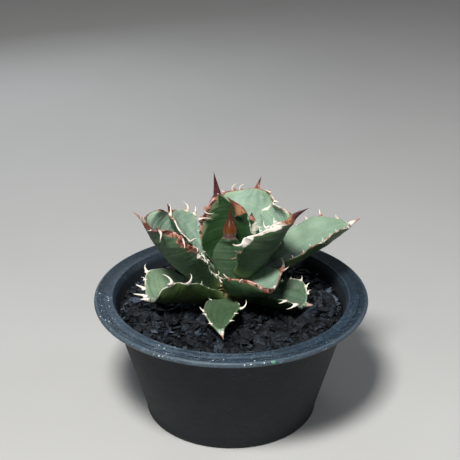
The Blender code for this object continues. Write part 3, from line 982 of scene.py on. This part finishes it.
def tooth_curves(random, shape, length, teeth):
    """Curved horns standing on the rim: their rings, their two ends and their places along it.

    The centre line is a cubic curve that leaves the rim straight outwards, swings aside and
    bends over to the tooth's point; its section is an oval, longer along the rim at its root.
    """
    side, place, size, lean, rise = np.array(teeth, float).T
    size, lean, rise = size[:, None], np.radians(lean)[:, None], np.radians(rise)[:, None]
    ring = np.abs(shape["along"][None] / length - place[:, None]).argmin(1)
    root = shape["rings"][ring, np.where(side > 0, 0, RING_POINTS // 2)]
    outward = shape["left"][ring] * side[:, None]
    onward, upward = shape["forward"][ring], shape["up"][ring]
    flat = outward * np.cos(lean) + onward * np.sin(lean)
    move = size * (flat * np.cos(rise) + upward * np.sin(rise))
    bow = random.choice([-1.0, 1.0], size.shape) * random.uniform(0.2, 0.5, size.shape)
    swing = onward * bow + upward * random.uniform(-0.1, 0.4, size.shape)
    start = root - outward * 0.9
    control_a = root + (outward * 0.45 + upward * 0.1) * size
    control_b = root + move * 0.7 + (outward * 0.3 + swing) * size
    end = root + move
    t = np.linspace(0, 0.95, TOOTH_RINGS)[None, :, None]
    a, b, c, d = (p[:, None] for p in (start, control_a, control_b, end))
    centre = a * (1 - t) ** 3 + 3 * b * t * (1 - t) ** 2 + 3 * c * t**2 * (1 - t) + d * t**3
    tangent = 3 * (b - a) * (1 - t) ** 2 + 6 * (c - b) * t * (1 - t) + 3 * (d - c) * t**2
    tangent /= np.linalg.norm(tangent, axis=2, keepdims=True) + 1e-9
    wide = onward[:, None] - tangent * (onward[:, None] * tangent).sum(2, keepdims=True)
    wide /= np.linalg.norm(wide, axis=2, keepdims=True) + 1e-9
    thin = np.cross(tangent, wide)
    radius = (0.10 * size + 0.12)[:, None] * (1 - t) ** 0.9
    oval = 1.0 + 1.5 * (1 - t) ** 3
    around = np.arange(TOOTH_SIDES) * math.tau / TOOTH_SIDES
    rings = (
        centre[:, :, None]
        + wide[:, :, None] * (radius * oval)[:, :, None] * np.cos(around)[None, None, :, None]
        + thin[:, :, None] * radius[:, :, None] * np.sin(around)[None, None, :, None]
    )
    return rings, np.stack([start, end], 1), place


def grown_teeth(random, leaf, listed, fringe):
    """Both rims' listed teeth, then small ones clear of them, fringe of these to 10 mm."""
    teeth = [(side, *tooth) for side, rim in zip((LEFT, RIGHT), listed) for tooth in rim]
    length = leaf["length"]
    for side, rim in zip((LEFT, RIGHT), listed):
        place = 0.22 + random.uniform(0, 0.08)
        while place < 0.94:
            near = [abs(tooth[0] - place) * length for tooth in rim]
            size = (0.4 + 1.8 * random.uniform() ** 2) * (0.6 + 0.6 * place)
            lean, rise = random.uniform(-60, 100), random.uniform(-20, 60)
            if not near or min(near) > 3.0:
                teeth.append((side, place, size, lean, rise))
            place += 10 / fringe / length * random.uniform(0.6, 1.5)
    return teeth


def leaf_piece(name, leaf, listed, number):
    """One leaf with its end spine and teeth: the blade's tube, then the horns.

    Each point is marked for the material with its share of the length, its distance from the rim
    in rim widths, how horny it is, 1 if it is on the upper side, and its reach up spine or tooth.
    """
    random = np.random.default_rng(100 + number)
    finish = {**PLAIN, **FINISH.get(name, {})}
    teeth = grown_teeth(random, leaf, listed, finish["fringe"])
    shape = blade(leaf, finish, teeth, phase=random.uniform(0, 6))
    rings = shape["rings"]
    ends = np.stack([rings[0].mean(0), rings[-1].mean(0)])
    body, quads, triangles = tubes(rings[None, :-1], ends[None])
    horns, horn_ends, places = tooth_curves(random, shape, leaf["length"], teeth)
    horn_points, horn_quads, horn_triangles = tubes(horns, horn_ends)

    body_marks = shape["marks"][:-1].reshape(-1, 5)
    end_marks = [[0.0, 2.0, 0.0, 0.0, 0.0], [1.0, 0.0, 1.0, 1.0, 1.0]]
    horn_marks = np.zeros((len(teeth), TOOTH_RINGS * TOOTH_SIDES + 2, 5))
    horn_marks[:] = [0.0, 0.0, 1.0, 1.0, 0.0]
    horn_marks[..., 0] = places[:, None] * 0.9
    horn_marks[:, :-2, 4] = np.repeat(np.linspace(0, 0.95, TOOTH_RINGS), TOOTH_SIDES)
    horn_marks[:, -1, 4] = 1.0
    marks = np.concatenate([body_marks, end_marks, horn_marks.reshape(-1, 5)])
    made = mesh_object(
        "agave_" + name,
        np.concatenate([body, horn_points]),
        np.concatenate([quads, horn_quads + len(body)]),
        np.concatenate([triangles, horn_triangles + len(body)]),
        leaf_material(name, finish, number),
        **dict(zip(("share", "rim", "horny", "upper", "reach"), marks.T)),
    )
    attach(made, "root")
    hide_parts("leaf_" + name)


# The colours of the horn, the spines and the teeth, and then of the flesh.
CREAM = (0.86, 0.79, 0.69)
PINK = (0.36, 0.17, 0.12)
RUST = (0.105, 0.034, 0.022)
AMBER = (0.110, 0.030, 0.004)
MAROON = (0.080, 0.024, 0.028)
TAN = (0.34, 0.155, 0.08)
DUSK = (0.16, 0.10, 0.095)
DARK_TIP = (0.050, 0.016, 0.012)
OLD_TOOTH = (0.20, 0.085, 0.045)
TOOTH_TIP = (0.24, 0.15, 0.11)
# Darkened as painted shade for the undersides.
DEEP_SHADED_GREEN = (0.015, 0.046, 0.012)
BLOOM_GREEN = (0.280, 0.405, 0.305)
WARM_GREEN = (0.215, 0.300, 0.090)
FOOT_GREEN = (0.20, 0.25, 0.09)
# A painted glow of light through the leaf's thin rim.
RIM_GLOW_GREEN = (0.34, 0.44, 0.24)

# upper and under are how much pale bloom each face wears, with painted light and shade in it: they
# are set leaf by leaf, higher to light up leaves that sit in shade and lower to darken faces in shade.
# warm is how yellow it is, hair the width of the rim's horn near the foot and horn what it gains
# towards the tip, on the left and right, in mm, brown how old that horn looks, from young, a share of
# the length, to the tip, sets_in the share where it starts to widen, and flare how much wider it bulges
# once on the way. fringe is the small teeth to 10 mm, old_teeth the share below which they have
# browned, wave how far the rim waves, and ripples and stripes how deep the bud's prints and the folds
# are; stripes also sets how strongly the grain's pale and dark streaks show, which are partly painted
# light and shade on the folds. needle is the end spine's taper, 1 for a cone and more for a finer
# point, bulb how far it swells past its root, and collar, spine and tip its colours from there to its
# point.
PLAIN = dict(
    upper=0.65, under=0.10, warm=0.0, horn=(0.2, 0.2), brown=0.3, young=0.0, fringe=0.9, wave=0.5,
    hair=0.12, ripples=0.35, stripes=0.2, needle=1.15, bulb=0.0, flare=0.0, sets_in=0.35,
    old_teeth=0.0, collar=PINK, spine=PINK, tip=DARK_TIP,
)  # fmt: skip
FINISH = {
    "left_low": dict(
        upper=0.62, under=-0.02, warm=0.24, horn=(0.2, 0.15), brown=0.02, fringe=0.25, ripples=0.8,
        collar=BLOOM_GREEN, spine=CREAM, tip=CREAM,
    ),
    "front_low": dict(
        upper=0.14, under=0.03, warm=0.06, horn=(0.0, 0.1), brown=0.1, fringe=0.2, hair=0.08,
        stripes=1.6, needle=1.7, collar=BLOOM_GREEN, spine=CREAM, tip=PINK,
    ),
    "right_low": dict(
        upper=0.20, under=0.0, horn=(0.2, 0.1), brown=0.1, fringe=0.4, hair=0.08, stripes=2.4,
        collar=BLOOM_GREEN, spine=CREAM, tip=PINK,
    ),
    "front_right": dict(
        upper=0.85, under=0.03, horn=(0.5, 1.2), brown=0.75, fringe=1.0, ripples=0.7, collar=RUST,
    ),
    "left_high": dict(
        upper=0.95, under=0.12, horn=(4.0, 0.4), brown=1.1, young=0.56, fringe=1.6, wave=0.8,
        hair=0.6, ripples=0.9, collar=RUST, spine=CREAM, tip=PINK,
    ),
    "left_inner": dict(
        upper=1.05, horn=(0.5, 0.3), fringe=0.5, stripes=1.2, collar=TAN, spine=AMBER,
    ),
    "right_high": dict(
        upper=0.74, under=0.0, warm=0.08, horn=(0.0, 0.35), brown=0.6, fringe=0.8, stripes=1.2,
        collar=CREAM, spine=CREAM, tip=PINK,
    ),
    "right_inner": dict(
        upper=1.2, under=0.05, horn=(2.0, 5.0), brown=0.22, fringe=0.3, wave=1.4, sets_in=0.48,
        flare=0.55, old_teeth=0.5, hair=0.08, ripples=0.8, collar=TAN, spine=MAROON,
    ),
    "back_high": dict(upper=0.90, horn=(1.0, 1.6), brown=0.75, wave=2.6, stripes=1.8),
    "heart_left": dict(
        upper=-0.06, under=-0.04, horn=(2.8, 0.15), brown=1.0, fringe=0.1, hair=0.05, collar=MAROON,
        spine=MAROON,
    ),
    "heart_front": dict(
        upper=0.4, under=0.14, warm=0.05, horn=(0.0, 0.0), brown=0.35, fringe=0.1, hair=0.02,
        ripples=0.55, needle=1.35, bulb=0.50, collar=DUSK, spine=AMBER,
    ),
    "heart_right": dict(
        upper=0.0, under=-0.05, horn=(1.4, 1.0), brown=0.6, young=0.7, fringe=0.1, hair=0.02,
        collar=TAN, spine=TAN, tip=RUST,
    ),
    "heart_side": dict(upper=0.03, under=0.0, horn=(3.4, 0.3), fringe=0.1, hair=0.10),
}  # fmt: skip


def leaf_material(name, finish, number):
    """Waxy flesh with a horny rim and spine: pale bloom above and deep green below, with painted light and
    shade.
    """
    graph = Graph("agave flesh " + name.replace("_", " "))
    share, rim = graph.attribute("share"), graph.attribute("rim")
    upper, reach = graph.attribute("upper"), graph.attribute("reach")
    shift = graph.placed("ADD", (0.37 * number, 0.0, 0.0))
    bloom = graph.noise(75.0, 4.0, 0.55, shift)
    mottle = graph.noise(420.0, 3.0, 0.6, shift)
    # The grain that runs to the tip, and the lines pressed in by its neighbours in the bud.
    grain = graph.noise(14.0, 3.0, 0.55, graph.vector(rim * 0.5, share * 0.8, 0.13 * number))
    prints = graph.noise(
        4.0, 2.0, 0.5, graph.vector(rim * 0.09, share * 2.6 + bloom * 0.35, 0.31 * number)
    )
    # Painted light and shade: each leaf's bloom amounts lighten leaves that sit in shade and darken faces
    # in shade.
    bloom_light_and_shade = upper * (finish["upper"] - finish["under"]) + finish["under"]
    bloom_light_and_shade = bloom_light_and_shade * (0.25 + 1.50 * bloom) + (prints - 0.5) * 0.30 * (finish["ripples"] + 0.3)
    # The grain's pale and dark streaks, scaled by stripes, are partly painted light and shade on the folds.
    bloom_light_and_shade = bloom_light_and_shade - (grain - 0.5) * (0.12 + 0.25 * finish["stripes"]) * (0.2 + upper) + (mottle - 0.5) * 0.10
    flesh = graph.coats(
        DEEP_SHADED_GREEN,
        (graph.node("ShaderNodeClamp", inputs={"Value": bloom_light_and_shade}), BLOOM_GREEN),
        (finish["warm"] * (0.4 + bloom * 0.8), WARM_GREEN),
        (share.step(0.20, 0.0) * 0.5, FOOT_GREEN),
        # painted glow of light along the rim
        (rim.step(4.0, 1.2) * (upper * 0.35 + 0.06), RIM_GLOW_GREEN),
    )
    streaks = graph.noise(520.0, 3.0, 0.6, graph.placed("MULTIPLY", (1.0, 1.0, 0.22)))
    spine_tone = graph.coats(
        finish["collar"],
        (reach.step(0.0, 0.20), finish["spine"]),
        (streaks.step(0.49, 0.58) * 0.75, RUST),
        (reach.step(0.15, 0.60) * 0.9, finish["tip"]),
    )
    ragged = rim + (mottle - 0.5) * 0.9 + (bloom - 0.5) * 1.0
    horn = ragged.step(1.12, 0.88) * graph.attribute("horny")
    brown = share.step(finish["young"] - 0.1, finish["young"] + 0.1) * finish["brown"]
    worn = (graph.noise(150.0, 3.0, 0.6, shift) + brown * 0.42).step(0.66, 0.78)
    browned = share.step(finish["old_teeth"] + 0.01, finish["old_teeth"] - 0.06)
    at_spine = share.step(0.935, 0.965)
    horn_colour = graph.coats(
        CREAM,
        (worn, PINK),
        (worn * (mottle + brown * 0.22).step(0.66, 0.76), RUST),
        (reach.step(0.05, 0.4) * (1.0 - brown * 0.2), CREAM),
        (browned * 0.85, OLD_TOOTH),
        (reach.step(0.84, 1.0) * 0.6, TOOTH_TIP),
        (at_spine, spine_tone),
    )
    fibres = graph.bump(grain + mottle * 0.4, 0.0003, 0.3)
    return graph.finish(
        Base_Color=graph.coats(flesh, (horn, horn_colour)),
        Roughness=0.50 - horn * 0.16 - at_spine * 0.12 + (mottle - 0.5) * 0.15,
        Specular_IOR_Level=0.35,
        Normal=graph.bump(bloom + horn * 0.5, 0.0005, 0.25, fibres),
    )


for number, (leaf_name, leaf_sizes) in enumerate(LEAVES.items()):
    leaf_piece(leaf_name, leaf_sizes, TEETH.get(leaf_name, ((), ())), number)
